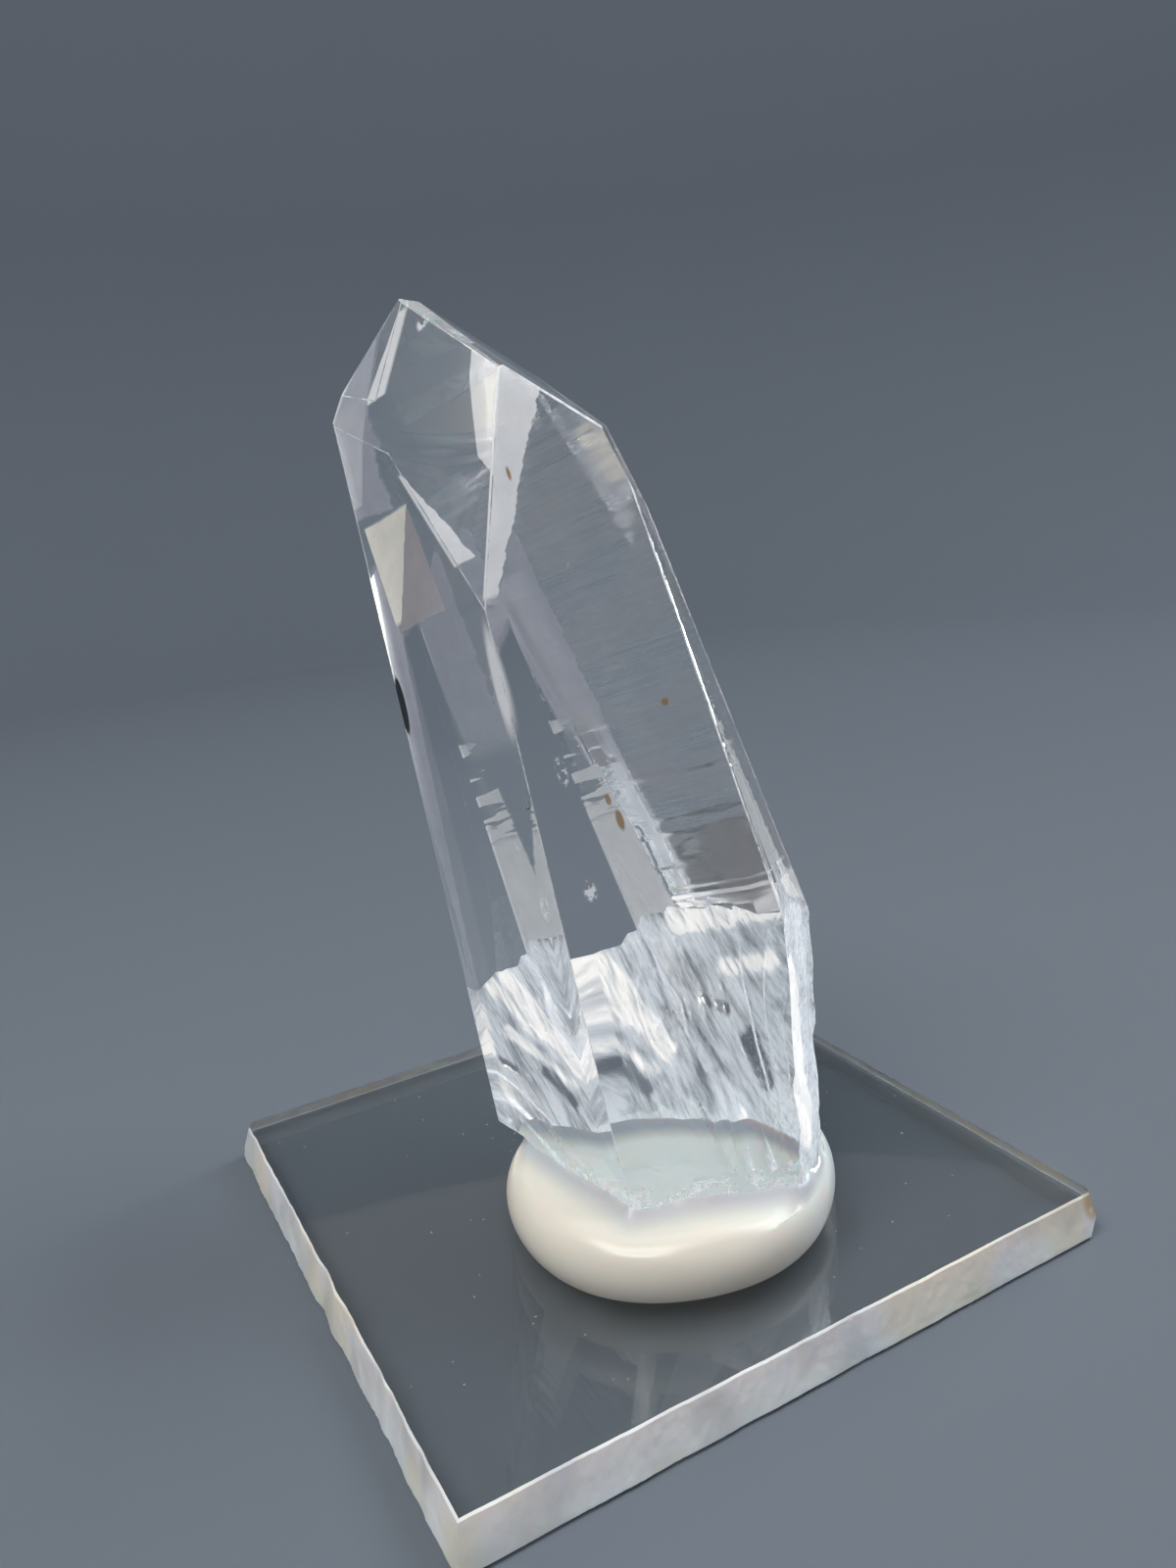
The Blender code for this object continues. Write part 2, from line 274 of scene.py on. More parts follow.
# Lights: name, place, what it points at, width and height, colour, spread (degrees)
LIGHTS = (
    ("key", (-0.28, -0.10, 0.62), (0.0, 0.0, 0.03), (0.45, 0.35), (1.0, 0.97, 0.93), 180),
    ("rim", (0.45, -0.05, 0.52), (0.0, 0.0, 0.03), (0.35, 0.35), (0.9, 0.93, 1.0), 180),
    ("back", (0.49, 0.087, 0.105), (0.0, 0.0, 0.105), (0.17, 0.08), (1.0, 0.98, 0.95), 30),
)


# Settings

def colour_setting(name, description, *default):
    return FloatVectorProperty(name=name, description=description, default=default, size=3,
                               subtype="COLOR")


def length_setting(name, description, default):
    return FloatProperty(name=name, description=description, default=default,
                         subtype="DISTANCE", unit="LENGTH")


def number_setting(name, description, default, unit="NONE"):
    return FloatProperty(name=name, description=description, default=default, unit=unit)


def count_setting(name, description, default):
    return IntProperty(name=name, description=description, default=default)


class QUARTZ_PG_crystal(bpy.types.PropertyGroup):
    ring_step: length_setting("Ring step", "Height between two rings of the fine ridges", 0.17 * MM)
    columns: count_setting("Columns", "Strips across each prism face", 9)
    break_cell: length_setting("Break cell", "Grid step of the broken surfaces", 0.27 * MM)
    body: colour_setting("Body colour", "Tint of the clear quartz", 0.975, 0.99, 0.99)
    # The veil white is also the colour of the painted highlights on the facets and edges
    veil: colour_setting("Veil colour", "White of the healed cracks", 0.93, 0.94, 0.96)
    # Colours of the etched zones, which also paint reflections on the facets
    cream: colour_setting("Cream", "Warm white of an etched facet", 0.95, 0.91, 0.80)
    lavender: colour_setting("Lavender", "Lilac grey of the etched strips", 0.62, 0.62, 0.72)
    dusk: colour_setting("Dusk", "Brown pink of the ridged patches", 0.50, 0.43, 0.42)
    # Crack whites, partly painted highlights; the two glows below are painted light
    flame: colour_setting("Flame colour", "Creamy white of the widest cracks", 1.0, 0.97, 0.93)
    shadow: colour_setting("Fine crack colour", "Cool white of the fine cracks", 0.82, 0.86, 0.91)
    painted_fine_crack_glow: colour_setting("Dim glow", "Light that the fine cracks pick up", 0.42, 0.46, 0.50)
    painted_crack_glow: number_setting("Gathered light", "Light that the widest cracks pick up", 0.95)
    # Painted glow: the etched zones emit light of their own
    painted_etched_glow: number_setting("Etched glow", "Light that the etched facets pick up", 0.22)
    veil_share: number_setting("Veil share", "How white the veils of the break are", 1.0)
    stain: colour_setting("Stain colour", "Rusty stain in the cracks", 0.30, 0.17, 0.05)


class QUARTZ_PG_putty(bpy.types.PropertyGroup):
    meniscus: length_setting("Meniscus", "How far the putty climbs up the crystal", 0.55 * MM)
    # Painted shade in the crease at the crystal
    shade: colour_setting("Shade", "Blue-grey of the putty beside the crystal", 0.33, 0.41, 0.49)
    ivory: colour_setting("Ivory", "Warm side of the putty", 0.74, 0.71, 0.62)
    # Painted light in the pocket, which lies in the crystal's shade
    pocket: colour_setting("Pocket", "Pale putty seen through the root", 0.84, 0.90, 0.89)
    cool: colour_setting("Cool", "Grey-green middle of the putty", 0.60, 0.67, 0.665)
    # Painted glow: the putty emits light of its own
    glow: number_setting("Glow", "Light that the putty passes on from within", 0.14)


class QUARTZ_PG_base(bpy.types.PropertyGroup):
    chatter: length_setting("Saw chatter", "Depth of the saw's waves in the sides", 0.16 * MM)
    frost: colour_setting("Frost", "White of the sawn sides", 0.97, 0.98, 0.97)
    cream: colour_setting("Cream", "Cream patches of the sawn sides", 0.95, 0.90, 0.78)
    blue: colour_setting("Blue-white", "Cool patches of the sawn sides", 0.86, 0.91, 0.98)
    milk: number_setting("Milk", "Least whiteness of the sawn sides", 0.66)
    amber: colour_setting("Amber", "Amber rim of the chipped corner", 0.55, 0.36, 0.12)
    specks: count_setting("Specks", "Dust specks on the plate", 90)
    speck_size: length_setting("Speck size", "Half width of a dust speck", 0.085 * MM)


class QUARTZ_PG_stage(bpy.types.PropertyGroup):
    floor: colour_setting("Floor", "Plain colour of the floor", 0.13, 0.155, 0.185)
    sky: colour_setting("Surroundings", "Soft light from all around", 0.86, 0.88, 0.95)
    sky_strength: number_setting("Surroundings strength", "How bright the soft light is", 0.38)
    key: number_setting("Key light", "Power of the large soft light", 4.6, "POWER")
    rim: number_setting("Rim light", "Power of the light behind", 3.0, "POWER")
    back: number_setting("Back light", "Power of the low light behind the break", 0.32, "POWER")


# Shader helper

class Wire:
    """A socket on which Python arithmetic adds Math nodes."""

    def __init__(self, maker, socket):
        self.maker = maker
        self.socket = socket

    def _math(self, operation, first, second=None):
        values = {0: first}
        if second is not None:
            values[1] = second
        return self.maker.node("ShaderNodeMath", {"operation": operation}, values)

    def __add__(self, other):
        return self._math("ADD", self, other)

    def __radd__(self, other):
        return self._math("ADD", other, self)

    def __sub__(self, other):
        return self._math("SUBTRACT", self, other)

    def __rsub__(self, other):
        return self._math("SUBTRACT", other, self)

    def __mul__(self, other):
        return self._math("MULTIPLY", self, other)

    def __truediv__(self, other):
        return self._math("DIVIDE", self, other)

    def __abs__(self):
        return self._math("ABSOLUTE", self)

    def lower_of(self, other):
        return self._math("MINIMUM", self, other)

    def higher_of(self, other):
        return self._math("MAXIMUM", self, other)


def opaque(value):
    """A plain colour with its alpha added; any other value as it is."""
    return (*value, 1.0) if isinstance(value, tuple) and len(value) == 3 else value


class Finish:
    """Builds one material's node tree."""

    def __init__(self, name):
        self.material = bpy.data.materials.new(name)
        self.material.use_nodes = True
        self.tree = self.material.node_tree
        self.tree.nodes.clear()
        place = self.tree.nodes.new("ShaderNodeTexCoord")
        self.place = Wire(self, place.outputs["Object"])
        parts = self.node("ShaderNodeSeparateXYZ", {}, {0: self.place}, whole=True)
        self.x, self.y, self.z = (Wire(self, out) for out in parts.outputs)

    def node(self, kind, settings, values, out=0, whole=False):
        """Add a node: settings first, then its sockets' values or links."""
        made = self.tree.nodes.new(kind)
        for key, value in settings.items():
            setattr(made, key, value)
        for key, value in values.items():
            if isinstance(value, Wire):
                self.tree.links.new(value.socket, made.inputs[key])
            else:
                made.inputs[key].default_value = value
        return made if whole else Wire(self, made.outputs[out])

    def noise(self, scale, detail=2.0, rough=0.5, place=None, warp=0.0):
        return self.node("ShaderNodeTexNoise", {}, {
            "Vector": place or self.place, "Scale": scale, "Detail": detail,
            "Roughness": rough, "Distortion": warp})

    def stretched(self, matrix, scale):
        """Object coordinates turned by a matrix and scaled along each axis."""
        turned = self.node("ShaderNodeMapping", {"vector_type": "TEXTURE"}, {
            "Vector": self.place, "Location": matrix.to_translation(),
            "Rotation": matrix.to_euler()})
        return self.node("ShaderNodeVectorMath", {"operation": "MULTIPLY"},
                         {0: turned, 1: scale})

    def smooth(self, value, low, high):
        """0 below low, 1 above high, with a soft change between them."""
        return self.node("ShaderNodeMapRange", {"interpolation_type": "SMOOTHSTEP"}, {
            "Value": value, "From Min": low, "From Max": high, "To Min": 0.0,
            "To Max": 1.0})

    def mix(self, factor, a, b):
        return self.node("ShaderNodeMix", {"data_type": "RGBA"},
                         {0: factor, 6: opaque(a), 7: opaque(b)}, out=2)

    def spot(self, centre, radii, matrix, edge=0.35):
        """A soft-edged ellipsoid mask; its axes are those of a turned frame."""
        place = matrix @ Matrix.Translation(centre)
        scale = [1.0 / radius for radius in radii]
        inside = self.stretched(place, scale)
        far = self.node("ShaderNodeVectorMath", {"operation": "LENGTH"}, {0: inside},
                        out="Value")
        return 1.0 - self.smooth(far, 1.0 - edge, 1.0 + edge)

    def spots(self, places, matrix, edge=0.35):
        """The sum of several such masks, whose middles and half sizes are in mm."""
        total = 0.0
        for centre, radii in places:
            one = self.spot(Vector(centre) * MM, [radius * MM for radius in radii], matrix, edge)
            total = one + total
        return total

    def bump(self, height, strength, distance):
        return self.node("ShaderNodeBump", {}, {
            "Strength": strength, "Distance": distance, "Height": height})

    def principled(self, **values):
        return self.node("ShaderNodeBsdfPrincipled", {}, {
            key.replace("_", " "): opaque(value) for key, value in values.items()})

    def clear(self, colour, roughness, ior, **values):
        """See-through stuff: plain transmission with its own refractive index."""
        return self.principled(Base_Color=colour, Roughness=roughness,
                               Transmission_Weight=1.0, IOR=ior, **values)

    def mix_shader(self, factor, a, b):
        return self.node("ShaderNodeMixShader", {}, {0: factor, 1: a, 2: b})

    def done(self, shader):
        self.node("ShaderNodeOutputMaterial", {}, {"Surface": shader}, whole=True)
        return self.material


# Mesh helpers

def add_piece(name, shape, *materials):
    mesh = bpy.data.meshes.new(name)
    shape.to_mesh(mesh)
    shape.free()
    piece = bpy.data.objects.new(name, mesh)
    bpy.context.scene.collection.objects.link(piece)
    for material in materials:
        mesh.materials.append(material)
    return piece


def bake(piece):
    """Apply the modifiers and the place, so the piece is a plain mesh at the origin."""
    bpy.context.view_layer.update()
    seen = piece.evaluated_get(bpy.context.evaluated_depsgraph_get())
    mesh = bpy.data.meshes.new_from_object(seen)
    mesh.transform(piece.matrix_world)
    piece.modifiers.clear()
    piece.matrix_world = Matrix.Identity(4)
    piece.data = mesh
    return piece


def cut_with(target, cutter):
    cut = target.modifiers.new("cut", "BOOLEAN")
    cut.operation = "DIFFERENCE"
    cut.solver = "EXACT"
    cut.object = cutter


def direction(turn, from_axis):
    """Unit normal from its turn about the axis and its angle to the axis, in degrees."""
    around, down = math.radians(turn), math.radians(from_axis)
    return Vector((math.sin(down) * math.cos(around), math.sin(down) * math.sin(around),
                   math.cos(down)))


def crystal_matrix():
    lean = Matrix.Rotation(LEAN_TOWARDS, 4, "Z") @ Matrix.Rotation(LEAN, 4, "Y")
    return Matrix.Translation(CRYSTAL_FOOT) @ lean @ Matrix.Rotation(TURN, 4, "Z")


def slice_off(shape, point, normal):
    """Cut away what lies beyond a plane and close the cut with a flat face."""
    everything = shape.verts[:] + shape.edges[:] + shape.faces[:]
    bmesh.ops.bisect_plane(shape, geom=everything, plane_co=point, plane_no=normal,
                           clear_outer=True)
    border = [edge for edge in shape.edges if edge.is_boundary]
    return bmesh.ops.holes_fill(shape, edges=border)["faces"]


def skin(shape, rings):
    """Close a stack of rings: a wall of quads with a flat cap at each end."""
    around = len(rings[0])
    for low, high in zip(rings, rings[1:]):
        for step in range(around):
            after = (step + 1) % around
            shape.faces.new((low[step], low[after], high[after], high[step]))
    shape.faces.new(list(reversed(rings[0])))
    shape.faces.new(rings[-1])


# Crystal

def ledge_heights():
    rule = random.Random(LEDGE_SEEDS[0])
    heights, height = [], LEDGE_FIRST
    while height < LEDGE_LAST:
        heights.append(height)
        height += LEDGE_PITCH * rule.uniform(*LEDGE_SPREAD)
    return heights


class Ledges:
    """The growth ledges of each prism face: proud below a ledge, running back above it."""

    def __init__(self):
        steps = ledge_heights()
        rule = random.Random(LEDGE_SEEDS[1])
        carried = [[rule.random() < LEDGE_SHARE for _ in PRISM] for _ in steps]
        self.own = [[step for step, has in zip(steps, carried) if has[index]]
                    for index in range(len(PRISM))]

    def at(self, index, height):
        own = self.own[index]
        below = [step for step in own if step <= height]
        above = [step for step in own if step > height]
        if not below or not above:
            return 0.0
        run = (height - below[-1]) / (above[0] - below[-1])
        rise = min(1.0, (above[0] - height) / LEDGE_RISE)
        return run * rise


def fine_ridge(index, across, height):
    """-1 to 1: fine cross ridges that fade in and out along a face."""
    level = height / MM
    coarse = noise.noise(Vector((level * 1.7, index * 9.1, across * 1.3)))
    fine = noise.noise(Vector((level * 5.1, index * 5.7, across * 2.1)))
    share = 0.5 + 0.9 * noise.noise(Vector((level * 0.11, index * 3.3, across * 3.0)))
    return (coarse + 0.7 * fine) * max(0.12, share)


def face_distance(face, height):
    return face[3] * MM - math.tan(math.radians(face[2])) * height


def section(height, ledges, columns):
    """The prism's outline at one height: each face in several strips."""
    outs = []
    for index, face in enumerate(PRISM):
        jag = 0.55 * fine_ridge(index, 0.0, height) * face[5] * MM
        outs.append(face_distance(face, height) + ledges.at(index, height) * face[4] * MM + jag)
    corners = []
    for index, face in enumerate(PRISM):
        after = (index + 1) % 6
        a, b = math.radians(face[1]), math.radians(PRISM[after][1])
        across = math.sin(b - a)
        x = (outs[index] * math.sin(b) - outs[after] * math.sin(a)) / across
        y = (outs[after] * math.cos(a) - outs[index] * math.cos(b)) / across
        corners.append(Vector((x, y, height)))
    outline = []
    for index, face in enumerate(PRISM):
        start, end = corners[index - 1], corners[index]
        normal = direction(face[1], 90)
        for step in range(columns):
            part = step / columns
            ridge = fine_ridge(index, part, height) * face[5] * MM if step else 0.0
            outline.append(start.lerp(end, part) + normal * ridge)
    return outline


def crystal_block(ring_step, columns):
    """The unbroken prism with its termination, in the crystal's own frame."""
    ledges = Ledges()
    count = int((RIDGES_END - BLOCK_BOTTOM) / ring_step)
    levels = [BLOCK_BOTTOM + ring_step * step for step in range(count)] + [BLOCK_TOP]
    shape = bmesh.new()
    rings = [[shape.verts.new(spot) for spot in section(level, ledges, columns)]
             for level in levels]
    skin(shape, rings)
    for _, turn, from_axis, distance in TIPS:
        normal = direction(turn, from_axis)
        slice_off(shape, normal * distance * MM, normal)
    for worn in WORN_EDGES:
        for face in slice_off(shape, *worn_plane(*worn)):
            face.material_index = 2
    return shape


def named_plane(name):
    """The normal and distance of a prism face or a termination face."""
    for label, turn, taper, distance, *_ in PRISM:
        if label == name:
            return direction(turn, 90 - taper), distance * MM * math.cos(math.radians(taper))
    for label, turn, from_axis, distance in TIPS:
        if label == name:
            return direction(turn, from_axis), distance * MM
    raise ValueError(name)


def worn_plane(first, second, width):
    """A plane that takes a thin strip off the edge where two faces meet."""
    (n1, d1), (n2, d2) = named_plane(first), named_plane(second)
    middle = (n1 + n2).normalized()
    lean = n1.angle(middle)
    edge = (d1 + d2) / (2 * math.cos(lean))
    return middle * (edge - width * MM * math.tan(lean) / 2), middle


def root_plane():
    """The flat underside of the root, as a point and normal in the crystal's frame."""
    back = crystal_matrix().inverted()
    point = back @ Vector((CRYSTAL_FOOT.x, CRYSTAL_FOOT.y, ROOT_DEPTH_Z))
    return point, back.to_3x3() @ Vector((0, 0, -1))


def break_depth(u, v, rough, start, variety):
    """How far a break dips in: blades that fan out from the crack's start, and ripples."""
    across, along = u - start[0] * MM, v - start[1] * MM
    far = math.hypot(across, along)
    spot = Vector((u / SHELL_PITCH, v / SHELL_PITCH, variety))
    shells = 0.5 + 0.5 * noise.noise(spot)
    turn = math.atan2(across, along) / math.tau
    phase = turn * BLADES_PER_TURN + 0.7 * noise.noise(spot * 1.3) + far * 25.0
    blade = phase - math.floor(phase)
    share = 0.5 + 0.5 * noise.cell(Vector((math.floor(phase) * 1.7, variety, 0.3)))
    comb = blade / BLADE_RISE if blade < BLADE_RISE else (1.0 - blade) / BLADE_FALL
    hackle = noise.noise(Vector((phase * 5.0, far * 90.0, variety)))
    ripple = math.sin(math.tau * (far / RIPPLE_PITCH + 1.5 * shells))
    fade = 0.5 + 0.5 * noise.noise(spot * 2.1)
    level, wide, blades, hackles, ripples = BREAK_SHARES
    return rough * MM * (level + wide * shells + blades * comb * share + hackles * hackle * fade
                         + ripples * ripple * fade)


def break_cutter(spec, cell):
    """A slab whose inner side is the rough surface of one break."""
    name, turn, from_axis, distance, rough, start, variety = spec
    cells = int(BREAK_SIZE / cell)
    count = cells + 1
    shape = bmesh.new()
    grid = []
    for row in range(count):
        for column in range(count):
            u = column * cell - BREAK_SIZE / 2
            v = row * cell - BREAK_SIZE / 2
            depth = break_depth(u, v, rough, start, variety)
            grid.append(shape.verts.new((u, v, -depth)))
    inner = []
    for row in range(cells):
        for column in range(cells):
            low = row * count + column
            inner.append(shape.faces.new((grid[low], grid[low + 1], grid[low + count + 1],
                                          grid[low + count])))
    made = bmesh.ops.extrude_face_region(shape, geom=inner)
    for item in made["geom"]:
        if isinstance(item, bmesh.types.BMVert):
            item.co.z = BREAK_BACKING
    bmesh.ops.recalc_face_normals(shape, faces=shape.faces[:])
    for face in shape.faces:
        face.smooth = True
        face.material_index = 1
    normal = direction(turn, from_axis)
    outward = normal.to_track_quat("Z", "Y").to_matrix().to_4x4()
    middle = BREAK_MIDDLE + normal * (distance * MM - normal.dot(BREAK_MIDDLE))
    cutter = add_piece(name, shape)
    cutter.matrix_world = crystal_matrix() @ Matrix.Translation(middle) @ outward
    return cutter


def facet(made, spot, name, slack):
    """1 on one named facet, 0 elsewhere; spot holds coordinates along the crystal in mm."""
    normal, distance = named_plane(name)
    x, y, z = spot
    off = x * normal.x + y * normal.y + z * normal.z - distance / MM
    return 1.0 - made.smooth(abs(off), slack * 0.6, slack)


def edge_strip(made, spot, name, other, width):
    """1 on one facet within a width (mm) of the edge that it shares with another."""
    (own, _), (normal, distance) = named_plane(name), named_plane(other)
    x, y, z = spot
    under = distance / MM - (x * normal.x + y * normal.y + z * normal.z)
    inside = under / math.sin(own.angle(normal)) - width
    return facet(made, spot, name, 0.2) * (1.0 - made.smooth(inside, -0.06, 0.06))


def front_strips(made, spot, jag, settings):
    """Painted reflections and highlights on the near faces: cream and brown patches of the left
    face, milky strips (partly etched too), and a bright line along the left outline.
    """
    x, z = spot[0], spot[2]
    on_left = facet(made, spot, "left", 0.2) * (1.0 - made.smooth(z + jag + x * 0.08, 56.3, 56.6))
    # The border between cream and brown leans with the face, and so do both outer borders
    past = made.smooth(x + (56.15 - z) * 0.491 + jag * 0.4, 3.57, 3.77)
    pale = on_left * (1.0 - past) * made.smooth(z + jag * 1.5, 48.4, 48.8)
    pale = pale * made.smooth(x + (z - 50.0) * 0.19, -1.35, -1.15)
    brown = on_left * past * (1.0 - made.smooth(x - (56.15 - z) * 0.249, 3.57, 3.77))
    zones = [(pale, settings.cream, 0.90),
             (brown * made.smooth(z + jag * 3.0, 47.2, 47.8), settings.dusk, 0.55)]
    for face, other, start, slope, extra, ragged, rough_foot, foot, whiteness in STRIPS:
        strip = edge_strip(made, spot, face, other, (z - start) * slope + extra + jag * ragged)
        strip = strip * made.smooth(z + jag * rough_foot, *foot)
        zones.append((strip, settings.veil, whiteness))
    line = 0.0
    for face in ("left pyramid", "left shoulder", "left"):
        for other in ("back pyramid", "back left"):
            line = edge_strip(made, spot, face, other, jag * 0.3 + OUTLINE_STRIP) + line
    return (*zones, (line.lower_of(1.0) * made.smooth(z, 20.0, 50.0), settings.veil, 0.45))


def back_facets(made, spot, jag, settings):
    """Etched zones of the far facets, seen through the crystal, which also paint a lilac reflection
    and white highlights.
    """
    x, y, z = spot
    # Place across the back facet, in mm, growing to the right as the photo shows it
    across = x * 0.686 + y * 0.728 + jag * 1.6
    on = facet(made, spot, "back facet", 0.25)
    high = on * made.smooth(z + x * 0.3, 55.2, 55.6) * (1.0 - made.smooth(across, -5.2, -4.6))
    high = high.higher_of(facet(made, spot, "back pyramid", 0.25))
    edge_on = facet(made, spot, "back edge facet", 0.25)
    # White all over at the foot, and in ragged blocks above it: a painted highlight on the back
    # edge facet
    below = 1.0 - made.smooth(z + jag * 4.0, 28.0, 29.5)
    blocks = made.smooth(jag, 0.02, 0.06) * (1.0 - made.smooth(z, 36.0, 40.0))
    return (
        (high, settings.lavender, 0.72),
        (edge_on * below.higher_of(blocks), settings.veil, 0.8),
    )


def far_faces(made, spot, jag, settings):
    """Faint zones of the far prism faces, painted reflections: lilac strips, a pink patch and
    ridged lines.
    """
    x, y, z = spot
    on = facet(made, spot, "back right", 0.3)
    beside = made.smooth(x + jag * 1.5, -6.6, -6.2)
    strip = on * made.smooth(z, 35.0, 38.0) * (1.0 - beside)
    pink = on * (1.0 - made.smooth(z + jag * 5.0, 25.5, 27.0))
    pink = pink * made.smooth(x + jag * 6.0, -4.0, -2.0)
    lines = made.noise(1.0, 3.0, 0.6, place=made.stretched(crystal_matrix(), (90, 90, 3400)))
    tone = made.noise(1.0, 2.0, 0.5, place=made.stretched(crystal_matrix(), (60, 60, 260)))
    ridges = made.smooth(lines, 0.30, 0.78) * 0.6 + made.smooth(tone, 0.4, 0.6) * 0.4
    back_on = facet(made, spot, "back", 0.25)
    # Two lilac zones along the left border of the back face, one inside the other: painted
    # reflections
    margin = back_on * (1.0 - made.smooth(y - (z - 40.0) * 0.085 + jag * 0.5, -2.5, -2.1))
    wedge = back_on * (1.0 - made.smooth(y - (z - 40.0) * 0.02, -1.9, -1.3))
    return (
        (strip, settings.lavender, 0.45),
        (margin, settings.lavender, 0.42),
        (wedge, settings.lavender, 0.14),
        (pink, settings.dusk, 0.34),
        (on * beside * ridges, settings.dusk, 0.34),
    )


def etched_and_reflection_zones(made, spot, settings):
    """Where the quartz is etched dull, and where reflections and highlights are painted on its
    facets: mask, colour and whiteness of each zone.

    The zones' heights and borders are in mm along the crystal's own axes, and jag, from
    -0.5 to 0.5, makes the borders ragged.
    """
    jag = made.noise(1.0, 2.0, place=made.stretched(crystal_matrix(), (150, 150, 900))) - 0.5
    return (*back_facets(made, spot, jag, settings), *far_faces(made, spot, jag, settings),
            *front_strips(made, spot, jag, settings))


def marks_on(made):
    """Small marks: rust stains, a black sliver, chipped spots, a painted highlight where the front
    and left faces meet, and the crushed lower edge.
    """
    own = crystal_matrix()
    rust = made.spots(RUST_SPOTS, own)
    black = made.spots(BLACK_SLIVERS, own, SLIVER_EDGE)
    grain = made.smooth(made.noise(1900.0, 2.0), 0.46, 0.56)
    # The chipped spots carry the flare too, a painted highlight
    chips = made.spots(CHIPPED_SPOTS, own) * grain + made.spots(FLARES, own)
    crush = made.smooth(made.noise(900.0, 4.0, 0.65), 0.50, 0.56)
    crush = crush * (1.0 - made.smooth(made.z, *CRUSHED_TOP)) * made.smooth(made.x, *CRUSHED_LEFT)
    return rust, black, chips + crush


def quartz_finish(settings):
    """Clear quartz: glossy, etched dull on its back facets, with painted reflections, highlights
    and glow on its facets, and a few marks.
    """
    made = Finish("clear quartz")
    along = made.stretched(crystal_matrix(), (1 / MM, 1 / MM, 1 / MM))
    parts = made.node("ShaderNodeSeparateXYZ", {}, {0: along}, whole=True)
    spot = [Wire(made, out) for out in parts.outputs]
    etched, colour = 0.0, tuple(settings.veil)
    # Each zone lays on its colour: etched dullness, painted reflections and painted highlights
    for mask, tint, whiteness in etched_and_reflection_zones(made, spot, settings):
        colour = made.mix(mask, colour, tuple(tint))
        etched = (mask * whiteness).higher_of(etched)
    cloud = made.noise(260.0, 4.0, 0.6)
    etched = etched * (0.72 + cloud * 0.5)
    specks = made.node("ShaderNodeTexVoronoi", {}, {"Vector": made.place, "Scale": 520.0})
    few = made.smooth(made.noise(190.0, 1.0), 0.60, 0.68)
    dust = (1.0 - made.smooth(specks, 0.05, 0.10)) * few
    rust, black, chips = marks_on(made)
    white_share = etched.higher_of(chips * 0.8).higher_of(dust * 0.7).lower_of(1.0)
    clear = made.clear(tuple(settings.body), etched * 0.3 + 0.008, QUARTZ_IOR)
    # The etched white glows: painted light
    white = made.principled(Base_Color=colour, Roughness=0.45, Emission_Color=colour,
                            Emission_Strength=settings.painted_etched_glow)
    haze = made.clear(colour, 0.7, QUARTZ_IOR)
    rusty = made.principled(Base_Color=tuple(settings.stain), Roughness=0.4)
    dark = made.principled(Base_Color=(0.004, 0.004, 0.005), Roughness=0.2)
    body = made.mix_shader(white_share, clear, made.mix_shader(0.3, white, haze))
    body = made.mix_shader((rust * 0.85).lower_of(1.0), body, rusty)
    return made.done(made.mix_shader(black.lower_of(1.0), body, dark))


def veil_at(spot):
    """How white the break is at one place, from -1 (clear window) to 1."""
    total = 0.0
    for start, end, wide, narrow, white in VEILS:
        start, end = Vector(start) * MM, Vector(end) * MM
        run = end - start
        part = min(1.0, max(0.0, (spot - start).dot(run) / run.length_squared))
        reach = (wide + (narrow - wide) * part) * MM
        away = (spot - start - run * part).length / reach
        total += white * max(0.0, 1.2 - away * away)
    return min(1.0, max(-1.0, total))


def note_veils(mesh):
    """Store on the crystal how white each point of its breaks is."""
    back = crystal_matrix().inverted()
    mark = mesh.attributes.new(VEIL, "FLOAT", "POINT")
    broken = {corner for face in mesh.polygons if face.material_index == 1
              for corner in face.vertices}
    for corner in broken:
        mark.data[corner].value = veil_at(back @ mesh.vertices[corner].co)


def edge_finish(settings):
    """Worn edge: a thin line of tiny chips, white where they are dense, which also paints a
    highlight along the edge.
    """
    made = Finish("worn quartz edge")
    # The white of the worn strip is partly a painted highlight
    wear_and_highlight = made.smooth(made.noise(420.0, 4.0, 0.6), 0.36, 0.56)
    clear = made.clear(tuple(settings.body), 0.06, QUARTZ_IOR)
    white = made.principled(Base_Color=tuple(settings.veil), Roughness=0.35)
    return made.done(made.mix_shader(wear_and_highlight * 0.55 + 0.15, clear, white))


